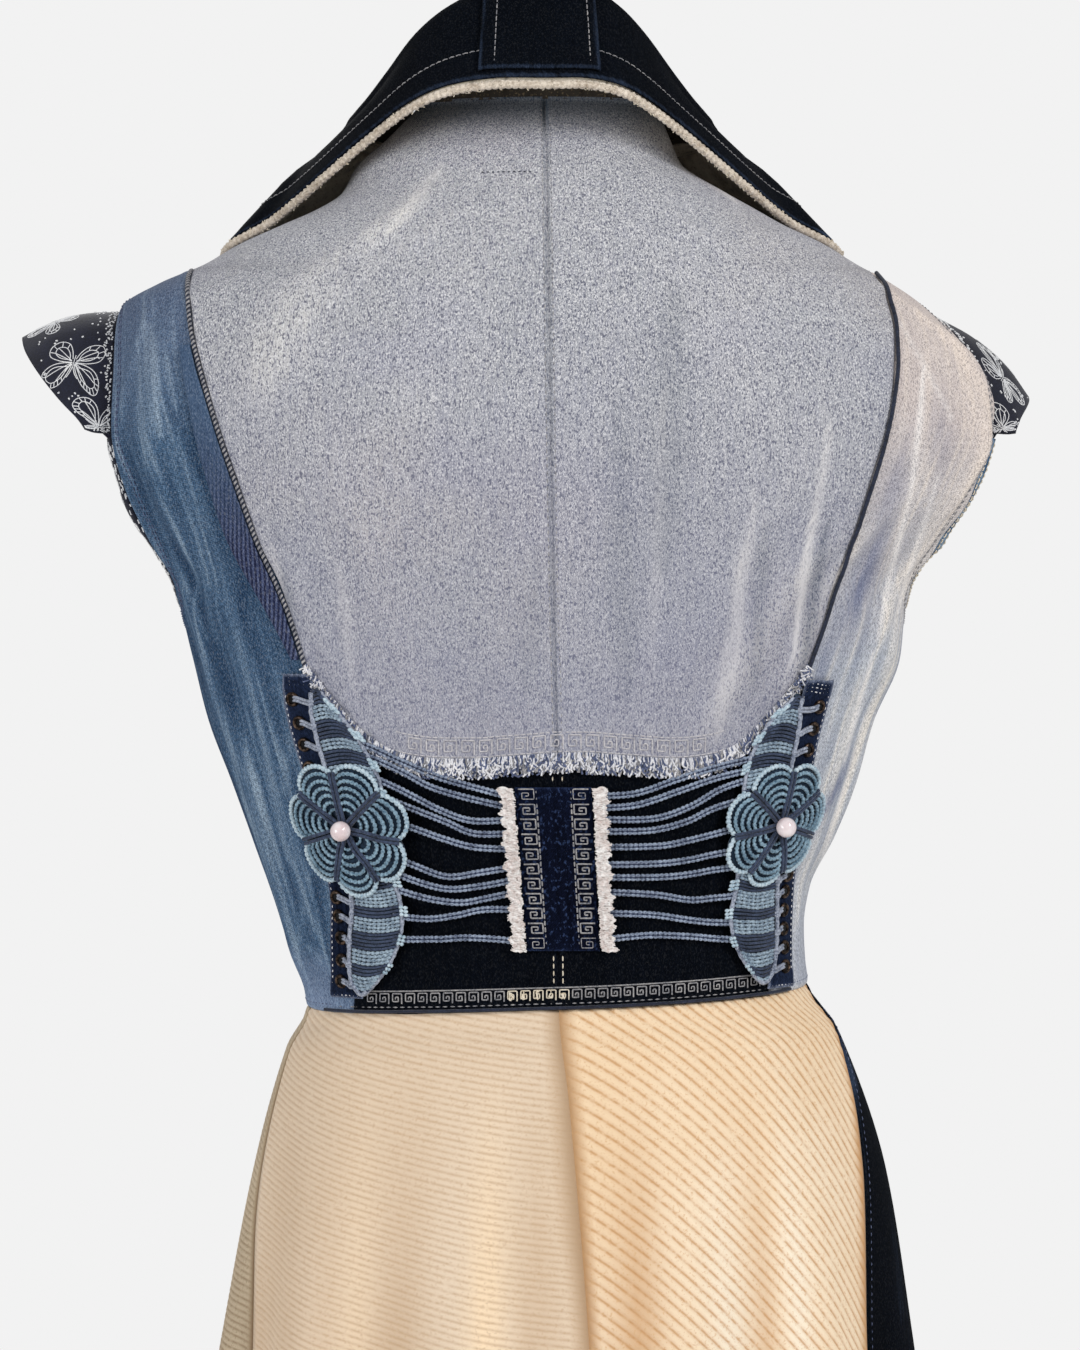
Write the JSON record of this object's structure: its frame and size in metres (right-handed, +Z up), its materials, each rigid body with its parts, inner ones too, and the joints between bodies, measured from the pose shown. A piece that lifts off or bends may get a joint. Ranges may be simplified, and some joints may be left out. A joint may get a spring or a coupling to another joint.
{
  "type": "macrame vest",
  "caption": "Long sleeveless denim vest with a wide fold-over collar, cap sleeves, a laced macrame back and a flared ribbed skirt.",
  "frame": {"origin": "the middle of the vest at the height of the side of the neck, where a wearer's shoulders hold it", "axes": "+Z up, the back faces +Y, the wearer's left is +X"},
  "size_m": [0.543, 0.3418, 1.0462],
  "materials": {
    "grey_denim": "washed grey denim",
    "blue_denim": "washed blue denim",
    "beige_denim": "denim bleached to beige",
    "dark_denim": "raw indigo denim",
    "cream_rib": "cream diagonal rib",
    "tan_rib": "greyish tan rib",
    "cream_fray": "torn cream cotton",
    "navy_print": "navy cotton printed with white lines",
    "knotted_cord": "slate blue waxed cord",
    "petal_cord": "pale blue cord",
    "brass": "aged",
    "bead": "polished pale stone look"
  },
  "bodies": {
    "root": {"back_left": "grey_denim", "back_right": "grey_denim", "back_fringe": "grey_denim", "side_back_left": "blue_denim", "front_left": "blue_denim", "front_right": "blue_denim", "seam_strip_left": "blue_denim", "armhole_binding_right": "blue_denim", "side_back_right": "beige_denim", "back_band_left": "dark_denim", "back_band_right": "dark_denim", "collar": "dark_denim", "collar_strip": "dark_denim", "centre_panel": "dark_denim", "seam_piping_right": "dark_denim", "skirt_front_left": "dark_denim", "skirt_front_right": "dark_denim", "skirt_back_left": "cream_rib", "skirt_back_right": "cream_rib", "under_collar": "cream_rib", "skirt_side_left": "tan_rib", "collar_trim": "cream_fray", "frayed_strip_left": "cream_fray", "frayed_strip_right": "cream_fray", "cap_sleeve_left": "navy_print", "cap_sleeve_right": "navy_print", "armhole_binding_left": "navy_print", "macrame_left": "knotted_cord", "macrame_right": "knotted_cord", "eyelet_strip_left": "knotted_cord", "eyelet_strip_right": "knotted_cord", "flower_left": "petal_cord", "flower_right": "petal_cord", "eyelet_left_1": "brass", "eyelet_left_2": "brass", "eyelet_left_3": "brass", "eyelet_left_4": "brass", "eyelet_left_5": "brass", "eyelet_left_6": "brass", "eyelet_left_7": "brass", "eyelet_left_8": "brass", "eyelet_left_9": "brass", "eyelet_right_1": "brass", "eyelet_right_2": "brass", "eyelet_right_3": "brass", "eyelet_right_4": "brass", "eyelet_right_5": "brass", "eyelet_right_6": "brass", "eyelet_right_7": "brass", "eyelet_right_8": "brass", "eyelet_right_9": "brass", "flower_bead_left": "bead", "flower_bead_right": "bead"}
  },
  "joints": []
}
